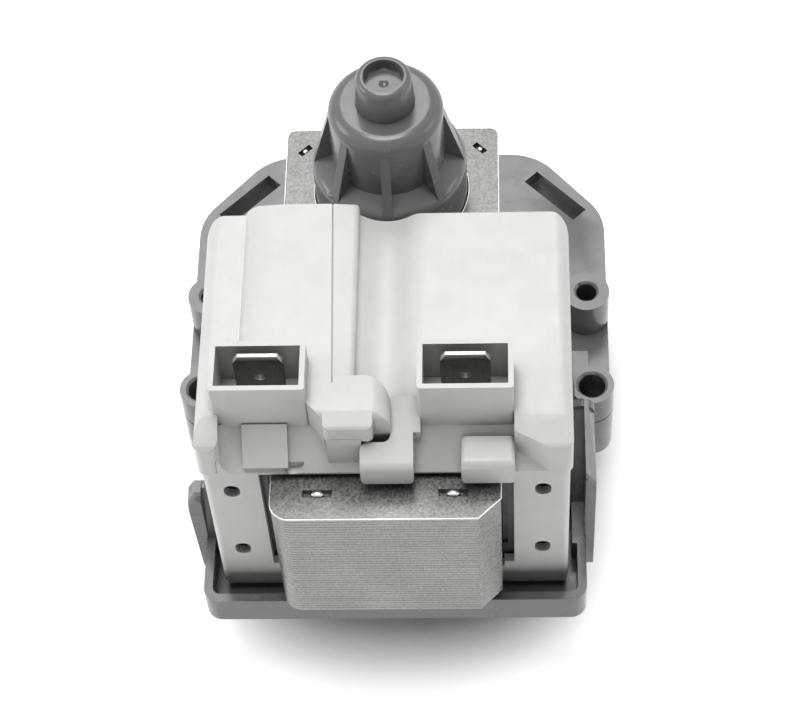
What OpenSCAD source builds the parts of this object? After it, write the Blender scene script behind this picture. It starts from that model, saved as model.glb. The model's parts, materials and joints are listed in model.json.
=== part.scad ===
// Washer drain pump: a wet-rotor synchronous motor on a moulded flange, with a
// laminated U-core, two coils under a plastic cover, and a bladed impeller.
// Millimetres. +Z runs along the rotor axis away from the impeller. The origin
// is on that axis, in the plane of the flange's mating face.

/* [Flange plate] */
// Distance from the rotor axis to where the plate's flank starts to round
plate_flank = 12; // [11:0.1:12.6]
// Half length of the plate's flat back edge
plate_flat = 16.4; // [15.6:0.1:17]
// Distance from the tray's side to the plate's straight flank
plate_side = 4.15; // [3.5:0.05:5]
// Corner radius that eases either end of the plate's slanted back corners
plate_corner_r = 8.5; // [7.5:0.1:9]
// Distance from the rotor axis to the plate's flat back edge
plate_back = 26.8; // [25.5:0.1:28]
// Distance from the rotor axis to the plate's front edge
plate_front = 22.5; // [21:0.5:25]
// Height of the plate's top face above the mating face
plate_t = 7.2; // [6.4:0.1:9]
// Thickness of the plate's skin above its open underside
skin_t = 2.4; // [1.8:0.1:3]
// Thickness of the skirt around the underside
skirt_t = 1.6; // [1.2:0.1:2]
// Thickness of the stiffening ribs under the plate
plate_rib_t = 1.4; // [1:0.1:2]
// Distance from the rotor axis to the inner edge of the two slanted slots
slot_r = 28.4; // [28:0.1:28.7]
// Width of the slanted slots
slot_w = 2.7; // [2:0.1:2.8]
// Length of the slanted slots
slot_len = 10.3; // [8:0.1:10.8]
// Angle the slots face, from the flank
slot_turn = 44.5; // [43:0.5:46]

/* [Screw lugs] */
// Height of the lug tops above the mating face
lug_top = 13.7; // [11:0.1:16]
// Distance of the rear lugs' axes from the plate's flank
rear_lug_in = 3.2; // [2.6:0.1:3.4]
// Distance of the rear lugs in front of the rotor axis
rear_lug_y = 3.3; // [2:0.1:5]
// Outside diameter of the rear lugs
rear_lug_d = 6.6; // [6:0.1:7]
// Screw hole of the rear lugs
rear_hole_d = 2.9; // [2.5:0.1:3.2]
// Distance of the front lugs' axes from the plate's flank
front_lug_in = 2.8; // [2.2:0.1:3]
// Distance of the front lugs in front of the rotor axis
front_lug_y = 19.3; // [18:0.1:20]
// Outside diameter of the front lugs
front_lug_d = 6.2; // [5.8:0.1:6.6]
// Screw hole of the front lugs
front_hole_d = 3.8; // [3.2:0.1:4.2]

/* [Rotor can] */
// Outside diameter of the can inside the core
can_d = 21; // [20:0.1:22]
// Wall of the can
can_wall = 1; // [0.8:0.05:1.2]
// Height of the can's wide part above the core
ring_h = 7.7; // [6.5:0.1:9]
// Outside diameter of the can's neck
neck_d = 15.4; // [14.6:0.1:16.4]
// Height of the neck above the wide part
neck_h = 11.4; // [10.5:0.1:13]
// Diameter of the boss on top of the can
boss_d = 7.4; // [6.8:0.1:7.8]
// Diameter of that boss at its foot
boss_foot_d = 8; // [7.8:0.1:9]
// Height of the boss
boss_h = 5.1; // [3.5:0.1:6]
// Diameter of the recess in the boss
boss_recess_d = 5.3; // [4.4:0.1:5.5]
// Depth of the recess in the boss
boss_recess_h = 1.6; // [1:0.1:2.2]
// Radius of the neck's upper edge
neck_edge_r = 2; // [0.8:0.1:2.4]
// Number of gusset ribs round the neck
can_rib_n = 8; // [4:1:10]
// Thickness of a gusset rib
can_rib_t = 1.3; // [0.8:0.1:1.6]
// Distance from the top of a gusset rib to the top of the neck
can_rib_drop = 2.4; // [1.5:0.1:4]

/* [Pump collar] */
// Outside diameter of the collar that enters the pump housing
collar_d = 45; // [43:0.5:46]
// Wall of the collar
collar_wall = 2; // [1.6:0.1:2.4]
// Height of the collar below the mating face
collar_h = 6; // [4:0.5:8]
// Width of the face seal
seal_w = 1.8; // [1.4:0.1:1.9]
// Thickness of the face seal
seal_t = 1.8; // [1.2:0.1:2.2]

/* [Tray and guides] */
// Gap between the coil housing and the tray's side walls
tray_side_gap = 1.35; // [0.8:0.05:2]
// Gap between the coil housing and the tray's front wall
tray_front_gap = 3; // [2:0.1:4]
// Height of the tray rim above the mating face
tray_rim = 7.6; // [7.2:0.1:9]
// Wall of the tray
tray_wall = 1.2; // [1:0.1:1.4]
// Thickness of the tray floor
tray_floor_t = 1; // [0.8:0.1:1.4]
// Height of the long guide above the tray floor
guide_h = 19.9; // [15:0.1:23]
// Drop of the short guide's top below the long one's
short_guide_drop = 4.6; // [0:0.1:6]
// Thickness of the coil guides
guide_t = 1.2; // [0.9:0.1:1.6]
// Distance of the guides' front ends behind the housing's front
guide_set = 5.6; // [4:0.1:8]
// Length of the long guide
long_guide_len = 12.6; // [9:0.2:14]
// Length of the short guide
short_guide_len = 3; // [2:0.2:5]

/* [Core] */
// Width of the core across both arms
core_w = 29.5; // [28.8:0.1:30]
// Distance from the rotor axis to the arms' ends
core_back = 10.3; // [9:0.1:12]
// Distance from the rotor axis to the front of the yoke
core_front = 52.5; // [51.5:0.5:54]
// Width of an arm beside the coil
arm_w = 7.3; // [6.8:0.1:7.4]
// Depth of the yoke from front to back
yoke_d = 8; // [7:0.1:8]
// Thickness of one lamination
lamination_t = 0.65; // [0.6:0.01:0.7]
// Number of laminations
lamination_n = 38; // [34:1:40]
// Gap left by the insulation between two laminations
lamination_gap = 0.06; // [0.03:0.01:0.1]
// Chamfer on the yoke's right-hand corner
yoke_chamfer = 2.9; // [1.5:0.1:4]
// Radius of the yoke's left-hand corner
yoke_round = 2.5; // [1.5:0.1:4]
// Radius of the arms' outer end corners
arm_round = 1.2; // [0.6:0.1:2]
// Clearance between the pole faces and the can
pole_gap = 0.2; // [0.15:0.05:0.4]
// Height of the core above the plate
core_lift = 2.6; // [2:0.1:3.4]

/* [Coil housing] */
// Gap between the windings and the housing's side walls
coil_gap = 1.95; // [1.2:0.05:2.6]
// Distance of the housing's front face in front of the yoke's inner edge
housing_lead = 1.3; // [1.25:0.05:1.6]
// Gap between the can and the housing's back face
can_gap = 0.6; // [0.5:0.05:1]
// Wall of the housing and the cover
wall = 1.2; // [1:0.05:1.3]
// Drop of the housing's floor below the core
housing_drop = 6.5; // [6:0.1:6.8]
// Margin of the window beside the core
window_side = 1.65; // [0.8:0.05:2.2]
// Height of the window's side ledges above the core's underside
window_ledge = 1; // [0.4:0.1:1.6]
// Radius of the housing's lower side edges
housing_edge_r = 3.2; // [2:0.1:3.6]
// Radius of the housing's lower front edge
housing_toe_r = 2.4; // [1.5:0.1:3]
// Width of the four small holes in the housing's front
vent_d = 2.1; // [1.4:0.1:2.4]
// Height of those holes
vent_h = 2.8; // [2.5:0.1:3.2]
// Distance of those holes from the housing's side face
vent_in = 3.5; // [2.6:0.1:4.5]

/* [Coil cover] */
// Overhang of the cover beyond the housing's sides
cover_side = 0.3; // [0.2:0.05:0.6]
// Overhang of the cover's lip beyond the housing's front
cover_lead = 0.45; // [0.3:0.05:0.8]
// Overhang of the cover beyond the housing's back
cover_tail = 0.25; // [0:0.05:0.3]
// Gap between the core and the cover's lower edge
cover_lift = 0.8; // [0.5:0.1:1]
// Height of the cover from its lower edge to its flat top
cover_h = 8.2; // [7.8:0.1:9]
// Height of the cover's front lip
lip_h = 5.8; // [5:0.1:6.5]
// Depth of the slope above the lip
slope_d = 4.5; // [3.5:0.1:5]
// Radius of the cover's upper edges
cover_edge_r = 1.8; // [1:0.1:2.2]
// Depth of the valley between the two coils
valley_depth = 2; // [1:0.1:2.2]
// Width of the valley
valley_w = 11.6; // [10:0.1:12]
// Height of the protector channel above the cover
channel_h = 2.1; // [1.8:0.1:3]
// Left edge of the channel, from the centre line
channel_left = 18.4; // [17.5:0.1:19]
// Right edge of the channel, from the centre line
channel_right = 3.6; // [3.5:0.1:4.2]
// Distance of the channel's front end behind the sockets' front
channel_set = 4.2; // [3.6:0.1:5]

/* [Terminals] */
// Width of a tab
tab_w = 6.3; // [4.8:0.1:6.6]
// Thickness of a tab
tab_t = 0.8; // [0.5:0.1:1]
// Height of a tab above the socket floor
tab_h = 8; // [7:0.1:8.4]
// Centre of the left tab, from the centre line
tab_left_x = -15.6; // [-15.8:0.1:-15.4]
// Centre of the right tab, from the centre line
tab_right_x = 10.5; // [10.3:0.1:10.7]
// Distance of the tabs behind the cover's front lip
tab_set = 8.95; // [8.4:0.05:9.4]
// Outside width of a socket
socket_w = 12.1; // [11.6:0.1:12.4]
// Outside depth of a socket
socket_d = 7.3; // [7:0.1:7.6]
// Wall of a socket
socket_wall = 0.7; // [0.5:0.05:0.9]
// Depth of a socket from its rim to its floor
socket_h = 7.7; // [7.4:0.1:8.4]

/* [Coils] */
// Wall of the bobbins
bobbin_wall = 0.8; // [0.6:0.05:1]
// Thickness of the bobbin flanges
bobbin_flange_t = 1; // [0.8:0.1:1.2]
// Winding build above and below the core
wind_z = 2; // [1.6:0.1:2.1]
// Space left between the windings and the bobbins' front flanges
wind_set = 0.6; // [0.5:0.05:1.5]
// Winding build beside the core
wind_x = 4.9; // [4:0.1:5.1]
// Width of the thermal protector
protector_w = 9; // [7:0.1:10]
// Length of the thermal protector
protector_len = 15; // [12:0.5:16]
// Height of the thermal protector
protector_h = 3.8; // [3:0.1:4.4]
// Diameter of the connecting wires
wire_d = 0.9; // [0.6:0.05:1]

/* [Rotor] */
// Diameter of the shaft
shaft_d = 4; // [3:0.1:4.4]
// Outside diameter of the magnet
magnet_d = 17.8; // [16.5:0.1:18.2]
// Length of the magnet
magnet_len = 28; // [24:0.5:29]
// Outside diameter of the carrier sleeve inside the magnet
sleeve_d = 8.4; // [7.5:0.1:9.5]
// Thickness of the sleeve's end discs
sleeve_disc_t = 1; // [0.8:0.1:1.4]
// Thickness of the thrust washers
washer_t = 1.2; // [0.8:0.1:1.4]
// Outside diameter of the bearing bushes
bush_d = 9; // [8:0.1:9.6]
// Length of the bearing bushes
bush_len = 5; // [4.5:0.1:5.5]

/* [Impeller] */
// Diameter over the blades
impeller_d = 38; // [34:0.5:39]
// Number of blades
blade_n = 6; // [4:1:8]
// Thickness of a blade
blade_t = 1.8; // [1.2:0.1:2.4]
// Depth of the blades below the mating face
blade_depth = 14; // [13.6:0.1:16]
// Thickness of the impeller's disc
disc_t = 1.6; // [1:0.1:2]
// Inside diameter of the hub
hub_d = 13.8; // [13:0.1:15]
// Wall of the hub
hub_wall = 1.7; // [1.2:0.1:2]
// Depth of the hub below the mating face
hub_depth = 12; // [11:0.1:12.2]
// Half the angle of the driving dog
dog_half = 24; // [15:1:28]
// Half the angle of the impeller's own key
key_half = 25; // [15:1:28]
// Angle taken by one rubber bumper
bumper_angle = 13; // [8:1:15]

/* [Hidden] */
$fn = 96;
// Clearances
running_gap = 0.04;
seat_gap = 0.03;
loose_gap = 0.1;
end_play = 0.4;
core_margin = 0.3;
over = 1;

// Levels, from the mating face upwards
chamber_z = 1.5;
core_z0 = plate_t + core_lift;
core_z1 = core_z0 + lamination_n * lamination_t;
housing_z0 = core_z0 - housing_drop;
housing_z1 = core_z1 + cover_lift;
cover_z1 = housing_z1 + cover_h;
floor_z0 = housing_z0 - tray_floor_t;
ring_z = core_z1 + ring_h;
neck_z = ring_z + neck_h;
boss_z = neck_z + boss_h;
core_mid = (core_z0 + core_z1) / 2;

// Plan sizes, from the core outwards
can_r = can_d / 2;
arm_x1 = core_w / 2;
arm_x0 = arm_x1 - arm_w;
arm_mid = (arm_x0 + arm_x1) / 2;
yoke_y = -(core_front - yoke_d);
housing_w = 2 * (arm_x1 + loose_gap + bobbin_wall + wind_x + coil_gap + wall);
housing_front = core_front - yoke_d + housing_lead;
housing_back = can_r + can_gap;
cover_w = housing_w + 2 * cover_side;
cover_front = housing_front + cover_lead;
cover_back = housing_back - cover_tail;
tray_w = housing_w + 2 * (tray_side_gap + tray_wall);
tray_front = housing_front + tray_front_gap + tray_wall;
plate_w = tray_w + 2 * plate_side;
rear_lug_x = plate_w / 2 - rear_lug_in;
front_lug_x = plate_w / 2 - front_lug_in;
guide_front = housing_front - guide_set;
vent_x = housing_w / 2 - vent_in;
tab_y = cover_front - tab_set;

lug_step_h = 1.4;
yoke_mark = [3.8, 1.1];
yoke_mark_x = 8.7;
yoke_mark_y = core_front - 3.8;
arm_mark = [2.1, 0.9];
arm_mark_x = arm_x1 - 2.55;
arm_mark_y = core_back - 3.5;
vent_low = 5.2;
vent_high = 20.5;

// Can and bearings
can_inner_r = can_r - can_wall;
neck_r = neck_d / 2;
neck_inner_r = neck_r - can_wall - 0.4;
neck_roof_z = neck_z - 1.8;
carrier_r = can_r + 0.3;
carrier_t = 1;
carrier_z = chamber_z + 0.1;
carrier_seat_z = carrier_z + carrier_t;
carrier_lip_t = 0.8;
carrier_spigot_h = 4.4;
bush_r = bush_d / 2;
shaft_r = shaft_d / 2;
front_bush_z0 = carrier_z + carrier_lip_t;
front_bush_z1 = front_bush_z0 + bush_len;
rotor_z0 = front_bush_z1 + end_play + washer_t;
magnet_z0 = rotor_z0 + sleeve_disc_t;
magnet_z1 = magnet_z0 + magnet_len;
rotor_z1 = magnet_z1 + sleeve_disc_t;
rear_cup_t = 0.8;
rear_bush_z1 = neck_roof_z - rear_cup_t;
rear_bush_z0 = rotor_z1 + washer_t + end_play;
rear_cup_z0 = rear_bush_z1 - 8;
shaft_z1 = neck_roof_z + 1.2;
shaft_recess_z = neck_roof_z + 2;

// Collar and seal
collar_r = collar_d / 2;
groove_r0 = collar_r + 0.5;
groove_r1 = groove_r0 + seal_w + 2 * seat_gap;
land_r = groove_r1 + 0.8;

// Impeller
impeller_r = impeller_d / 2;
hub_r = hub_d / 2;
hub_outer_r = hub_r + hub_wall;
hub_floor_t = 1.6;
hub_floor_z = hub_floor_t - hub_depth;
hub_cover_t = 1;
dog_hub_r = shaft_r + 1.8;
dog_r = hub_r - 0.3;
dog_z0 = hub_floor_z + 0.6;
dog_z1 = -0.8;
retainer_t = 1;
retainer_z1 = -hub_depth - 0.2;
shaft_z0 = retainer_z1 - retainer_t - 0.2;

// Coils
tube_w = arm_w + 2 * (bobbin_wall + loose_gap);
tube_h = core_z1 - core_z0 + 2 * (bobbin_wall + loose_gap);
wind_w = tube_w + 2 * wind_x;
wind_h = tube_h + 2 * wind_z;
wind_top = core_mid + wind_h / 2;
bobbin_y0 = yoke_y + 0.2;
bobbin_y1 = -housing_back - wall - 0.2;
flange_x0 = 0.4;
flange_x1 = housing_w / 2 - wall - 0.2;
bobbin_rear_top = wind_top + 0.3;
bobbin_front_top = core_z1 + 1.4;

// Cover and sockets
socket_floor_t = 1.1;
cover_roof_t = 1.7;
notch_y = tab_y + 4.9;
channel_front = notch_y - channel_set;
socket_back = notch_y - socket_d;
socket_rise = 5;
socket_floor_z = housing_z1 + socket_rise + socket_floor_t;
socket_z = socket_floor_z + socket_h;
ceiling_z = socket_floor_z - socket_floor_t;
slope_low = [-cover_front, housing_z1 + 0.3];
slope_high = [-notch_y + 0.4, socket_floor_z - 0.6];
slope_run = slope_high - slope_low;
slope_wall = 0.9;
hook_rise = 4.7;
hook_foot = cover_lift;
hook_reach = 1.8;
hook_back = 2.6;
hook_brow = 1.3;
hook_z1 = housing_z1 + hook_rise;
hook_front = cover_front + hook_reach;
left_hook_x = [-3, 3.75];
right_hook_x = [9.8, 16.6];
hump_left = tab_left_x + (socket_w - socket_wall) / 2;
hump_right = 1;
hump_d = 6;
nose_x = [-7.5, -1.2];
seam_in = 3.6;
neck_left = 0.9;
neck_w = 3.8;
neck_set = 1.7;
wire_z = wind_top + 0.1 + wire_d / 2;

// Shared shapes

// A block from its low corner to its high corner
module block(low, high) {
    translate(low)
        cube(high - low);
}

// A profile drawn in X and Z, pushed along Y
module along_y(y0, y1) {
    translate([0, y1, 0])
        rotate([90, 0, 0])
            linear_extrude(y1 - y0)
                children();
}

// A profile drawn in Y and Z, pushed along X
module along_x(x0, x1) {
    translate([x0, 0, 0])
        rotate([90, 0, 90])
            linear_extrude(x1 - x0)
                children();
}

// An outline drawn in X and Y, pushed up
module along_z(z0, z1) {
    translate([0, 0, z0])
        linear_extrude(z1 - z0)
            children();
}

// Rectangle with round corners
module round_rect(low, high, r) {
    translate([low[0] + r, low[1]])
        square([high[0] - low[0] - 2 * r, high[1] - low[1]]);
    translate([low[0], low[1] + r])
        square([high[0] - low[0], high[1] - low[1] - 2 * r]);
    for (x = [low[0] + r, high[0] - r], y = [low[1] + r, high[1] - r])
        translate([x, y])
            circle(r);
}

// Plain ring
module ring(r_in, r_out, z0, z1) {
    along_z(z0, z1)
        difference() {
            circle(r_out);
            circle(r_in);
        }
}

// Wedge of a ring, centred on an angle
module sector(r_in, r_out, centre, half) {
    reach = 2 * r_out;
    intersection() {
        difference() {
            circle(r_out);
            circle(r_in);
        }
        rotate(centre)
            polygon([[0, 0], reach * [cos(half), -sin(half)], reach * [1, 0],
                     reach * [cos(half), sin(half)]]);
    }
}

// Both sides of the centre line
module both_sides() {
    children();
    mirror([1, 0, 0])
        children();
}

// Points of an arc
function arc(centre, r, from, to, steps = 6) =
    [for (i = [0 : steps]) centre + r * [cos(from + (to - from) * i / steps),
                                         sin(from + (to - from) * i / steps)]];

// Flange

module plate_outline(inset = 0) {
    r = plate_corner_r - inset;
    front = -plate_front + inset;
    both_sides()
        polygon(concat(
            [[-over, front], [front_lug_x - inset, front], [front_lug_x - inset, -front_lug_y],
             [plate_w / 2 - inset, -front_lug_y]],
            arc([plate_w / 2 - plate_corner_r, plate_flank], r, 0, slot_turn, 8),
            arc([plate_flat, plate_back - plate_corner_r], r, slot_turn, 90, 8),
            [[-over, plate_back - inset]]));
}

module lug_columns(top) {
    both_sides() {
        translate([rear_lug_x, -rear_lug_y, 0])
            cylinder(d = rear_lug_d, h = top);
        translate([front_lug_x, -front_lug_y, 0])
            cylinder(d = front_lug_d, h = top);
    }
}

// Screw hole with an eased mouth
module lug_hole(d) {
    ease = 0.35;
    translate([0, 0, -over])
        cylinder(d = d, h = lug_top + 2 * over);
    translate([0, 0, lug_top - ease])
        cylinder(d1 = d, d2 = d + 2 * ease + 2 * over, h = ease + over);
}

module lug_holes() {
    both_sides() {
        translate([rear_lug_x, -rear_lug_y, 0])
            lug_hole(rear_hole_d);
        translate([front_lug_x, -front_lug_y, 0])
            lug_hole(front_hole_d);
    }
}

// Tray floor and walls under the coil housing
module tray_solid() {
    corner = 2.2;
    along_z(floor_z0, tray_rim)
        round_rect([-tray_w / 2, -tray_front], [tray_w / 2, -housing_back], corner);
}

module tray_recess() {
    side = tray_w / 2 - tray_wall;
    along_z(housing_z0, lug_top)
        round_rect([-side, -tray_front + tray_wall], [side, -housing_back + loose_gap], 1);
}

// Open underside between the skirt, the seal land, the lugs and the tray
module plate_pockets() {
    difference() {
        along_z(-over, plate_t - skin_t)
            plate_outline(skirt_t);
        translate([0, 0, -2 * over])
            cylinder(r = land_r, h = plate_t + 2 * over);
        translate([0, 0, -2 * over])
            lug_columns(plate_t + 2 * over);
        block([-tray_w / 2, -plate_front - over, floor_z0], [tray_w / 2, -housing_back, plate_t]);
        for (angle = [20, 70, 110, 160])
            rotate(angle)
                block([land_r - over, -plate_rib_t / 2, -2 * over], [plate_w, plate_rib_t / 2, plate_t]);
    }
}

module slanted_slots() {
    shift = -2.8;
    both_sides()
        rotate(slot_turn)
            block([slot_r, shift - slot_len / 2, -over],
                  [slot_r + slot_w, shift + slot_len / 2, plate_t + over]);
}

module can_shell() {
    edge = 1.6;
    edge_angle = 70;
    lip = 0.8;
    gate_r = 0.7;
    gate_h = 0.5;
    rotate_extrude()
        polygon(concat(
            [[0, chamber_z], [can_r, chamber_z]],
            arc([can_r - edge, ring_z - edge], edge, 0, edge_angle),
            [[neck_r, ring_z + 0.9]],
            arc([neck_r - neck_edge_r, neck_z - neck_edge_r], neck_edge_r, 0, 90),
            [[boss_foot_d / 2, neck_z]],
            arc([boss_d / 2 - lip, boss_z - lip], lip, 10, 90),
            [[boss_recess_d / 2 + 0.1, boss_z], [boss_recess_d / 2, boss_z - 0.2],
             [boss_recess_d / 2 - 0.2, boss_z - boss_recess_h], [gate_r, boss_z - boss_recess_h],
             [0, boss_z - boss_recess_h - gate_h]]));
    for (i = [0 : can_rib_n - 1])
        rotate(360 * i / can_rib_n - 90)
            translate([0, can_rib_t / 2, 0])
                rotate([90, 0, 0])
                    linear_extrude(can_rib_t)
                        polygon([[neck_r - 0.5, ring_z - 2], [can_r - 0.5, ring_z - 2],
                                 [can_r - 0.3, ring_z - 0.5], [neck_r, neck_z - can_rib_drop],
                                 [neck_r - 0.5, neck_z - can_rib_drop]]);
}

// Inside of the can, with the seat of the bearing carrier at its mouth
module can_cavity() {
    rotate_extrude()
        polygon([[0, chamber_z - over], [carrier_r + loose_gap, chamber_z - over],
                 [carrier_r + loose_gap, carrier_seat_z], [can_inner_r, carrier_seat_z],
                 [can_inner_r, ring_z - can_wall], [neck_inner_r, ring_z - can_wall],
                 [neck_inner_r, neck_roof_z], [shaft_r + 0.5, neck_roof_z],
                 [shaft_r + 0.5, shaft_recess_z], [0, shaft_recess_z]]);
}

// Upright guide beside the coil housing, on the +X side
module coil_guide(length, top_drop, flare) {
    x1 = tray_w / 2 + guide_t;
    top = housing_z0 + guide_h - top_drop;
    tip = 0.9;
    along_y(-guide_front, -guide_front + length)
        polygon([[x1 - guide_t - 0.2, 0], [x1, 0], [x1 + flare, top - 2 * tip],
                 [x1 + flare - tip, top], [x1 - guide_t - 0.2, top]]);
}

// Round-headed web at the rear end of a guide, with a ramp that leads the housing in
module guide_web(length, top_drop, ramp) {
    x0 = housing_w / 2 + 0.5;
    x1 = tray_w / 2 + guide_t;
    y0 = -guide_front + length - guide_t;
    head = (x1 - x0) / 2;
    top = housing_z0 + guide_h - top_drop;
    along_y(y0, y0 + guide_t)
        union() {
            translate([x0, floor_z0])
                square([2 * head, top - head - floor_z0]);
            translate([x0 + head, top - head])
                circle(head);
        }
    along_x(x0, x1 - guide_t / 2)
        polygon([[y0 - ramp, floor_z0], [y0 + guide_t / 2, floor_z0], [y0 + guide_t / 2, top - head],
                 [y0, top - head], [y0 - ramp, tray_rim]]);
}

// Widened rim in front of the long guide's ramp
module guide_seat(ramp) {
    seat_len = 6.5;
    y1 = -guide_front + long_guide_len - guide_t - ramp;
    block([housing_w / 2 + 0.7, y1 - seat_len, floor_z0],
          [tray_w / 2 - tray_wall / 2, y1 + ramp, tray_rim]);
}

module coil_guides() {
    long_ramp = 6;
    short_ramp = 1.6;
    short_flare = 0.5;
    coil_guide(long_guide_len, 0, 0);
    guide_web(long_guide_len, 0, long_ramp);
    guide_seat(long_ramp);
    mirror([1, 0, 0]) {
        coil_guide(short_guide_len, short_guide_drop, short_flare);
        guide_web(short_guide_len, short_guide_drop, short_ramp);
    }
}

// Seats of the two arms
module core_pads() {
    both_sides()
        block([can_r + 0.6, -can_r / 2, plate_t - over], [arm_x1 - 0.3, core_back - 2, core_z0]);
}

// Fine seams round the front lugs at the level of their steps
module lug_seams() {
    seam = 0.22;
    z0 = plate_t + lug_step_h - seam;
    both_sides()
        translate([front_lug_x, -front_lug_y, 0])
            ring(front_lug_d / 2 - seam, front_lug_d / 2 + seam, z0, z0 + seam);
}

// Raised steps behind the front lugs
module lug_steps() {
    both_sides()
        block([tray_w / 2 - tray_wall, -front_lug_y, plate_t - over],
              [front_lug_x - 0.3, -front_lug_y + front_lug_d + 2.8, plate_t + lug_step_h]);
}

module pump_flange() {
    color([0.48, 0.49, 0.5])
        difference() {
            union() {
                difference() {
                    union() {
                        along_z(0, plate_t)
                            plate_outline();
                        lug_columns(lug_top);
                        translate([0, 0, -collar_h])
                            cylinder(r = collar_r, h = collar_h + chamber_z);
                        tray_solid();
                        can_shell();
                        core_pads();
                        lug_steps();
                    }
                    tray_recess();
                }
                coil_guides();
            }
            plate_pockets();
            lug_seams();
            translate([0, 0, -collar_h - over])
                cylinder(r = collar_r - collar_wall, h = collar_h + over + chamber_z);
            ring(groove_r0, groove_r1, -over, seal_t);
            can_cavity();
            lug_holes();
            slanted_slots();
        }
}

module flange_seal() {
    color([0.1, 0.1, 0.11])
        ring(groove_r0 + seat_gap, groove_r1 - seat_gap, 0, seal_t);
}

// Core

// Outline of one lamination: two arms, a yoke and the round pole faces
module lamination_outline() {
    half = core_w / 2;
    difference() {
        union() {
            translate([-half, -core_front + yoke_round])
                square([half, core_front + core_back - yoke_round - arm_round]);
            translate([0, -core_front + yoke_chamfer])
                square([half, core_front + core_back - yoke_chamfer - arm_round]);
            translate([-half + yoke_round, -core_front])
                square([half - yoke_round, yoke_d]);
            polygon([[0, -core_front], [half - yoke_chamfer, -core_front],
                     [half, -core_front + yoke_chamfer], [0, -core_front + yoke_chamfer]]);
            translate([-half + yoke_round, -core_front + yoke_round])
                circle(yoke_round);
            translate([-half + arm_round, core_back - 2 * arm_round])
                square([core_w - 2 * arm_round, 2 * arm_round]);
            for (side = [-1, 1])
                translate([side * (half - arm_round), core_back - arm_round])
                    circle(arm_round);
        }
        translate([-arm_x0, yoke_y])
            square([2 * arm_x0, core_back - yoke_y + over]);
        circle(can_r + pole_gap);
    }
}

// Punched marks that lock the laminations together, seen in the top one
module interlock_marks() {
    for (side = [-1, 1]) {
        translate([side * yoke_mark_x, -yoke_mark_y])
            square(yoke_mark, center = true);
        translate([side * arm_mark_x, arm_mark_y])
            rotate(-side * 45)
                square(arm_mark, center = true);
    }
}

// Pressed tongues across the marks in the yoke
module interlock_tongues() {
    tongue = yoke_mark[0] * 0.4;
    rise = 0.12;
    top = core_z1 + rise;
    r = (pow(tongue / 2, 2) + pow(lamination_t, 2)) / (2 * lamination_t);
    for (side = [-1, 1])
        intersection() {
            translate([side * yoke_mark_x, -yoke_mark_y, top - r])
                rotate([90, 0, 0])
                    cylinder(r = r, h = yoke_mark[1] + loose_gap, center = true);
            along_z(top - lamination_t, top + over)
                translate([side * yoke_mark_x, -yoke_mark_y])
                    square(2 * yoke_mark, center = true);
        }
}

module core_laminations() {
    color([0.7, 0.7, 0.68])
        for (i = [0 : lamination_n - 1]) {
            bottom = core_z0 + i * lamination_t;
            top = bottom + lamination_t - (i == lamination_n - 1 ? 0 : lamination_gap);
            along_z(bottom, top)
                difference() {
                    lamination_outline();
                    if (i == lamination_n - 1)
                        interlock_marks();
                }
            if (i == lamination_n - 1)
                interlock_tongues();
        }
}

// Coils, drawn on the +X arm

// Section square to an arm, grown by a margin on the sides and one above and below
module arm_section(side_margin, height_margin) {
    half = [arm_w / 2 + side_margin, (core_z1 - core_z0) / 2 + height_margin];
    translate([arm_mid - half[0], core_mid - half[1]])
        square(2 * half);
}

module bobbin() {
    margin = loose_gap + bobbin_wall;
    difference() {
        union() {
            along_y(bobbin_y0, bobbin_y1)
                arm_section(margin, margin);
            block([flange_x0, bobbin_y0, housing_z0 + housing_edge_r],
                  [flange_x1, bobbin_y0 + bobbin_flange_t, bobbin_front_top]);
            block([flange_x0, bobbin_y1 - bobbin_flange_t, housing_z0 + housing_edge_r],
                  [flange_x1, bobbin_y1, bobbin_rear_top]);
        }
        along_y(bobbin_y0 - over, bobbin_y1 + over)
            arm_section(loose_gap, loose_gap);
        block([arm_mid, bobbin_y0 - over, core_z0 + 3.5],
              [arm_x1 + bobbin_wall, bobbin_y0 + bobbin_flange_t / 2, core_z1]);
    }
}

module winding() {
    margin = loose_gap + bobbin_wall;
    bulge = 2.2;
    low = [arm_mid - wind_w / 2, core_mid - wind_h / 2];
    along_y(bobbin_y0 + bobbin_flange_t + wind_set, bobbin_y1 - bobbin_flange_t)
        difference() {
            round_rect(low, low + [wind_w, wind_h], bulge);
            arm_section(margin + seat_gap, margin + seat_gap);
        }
}

module bobbin_right() {
    color([0.15, 0.15, 0.16])
        bobbin();
}

module bobbin_left() {
    color([0.15, 0.15, 0.16])
        mirror([1, 0, 0])
            bobbin();
}

module winding_right() {
    color([0.72, 0.4, 0.2])
        winding();
}

module winding_left() {
    color([0.72, 0.4, 0.2])
        mirror([1, 0, 0])
            winding();
}

// Lower coil housing

// Upright hole with round ends
module vent_outline(x, z) {
    rise = (vent_h - vent_d) / 2;
    translate([x - vent_d / 2, z - rise])
        square([vent_d, 2 * rise]);
    for (end = [-rise, rise])
        translate([x, z + end])
            circle(d = vent_d);
}

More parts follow.
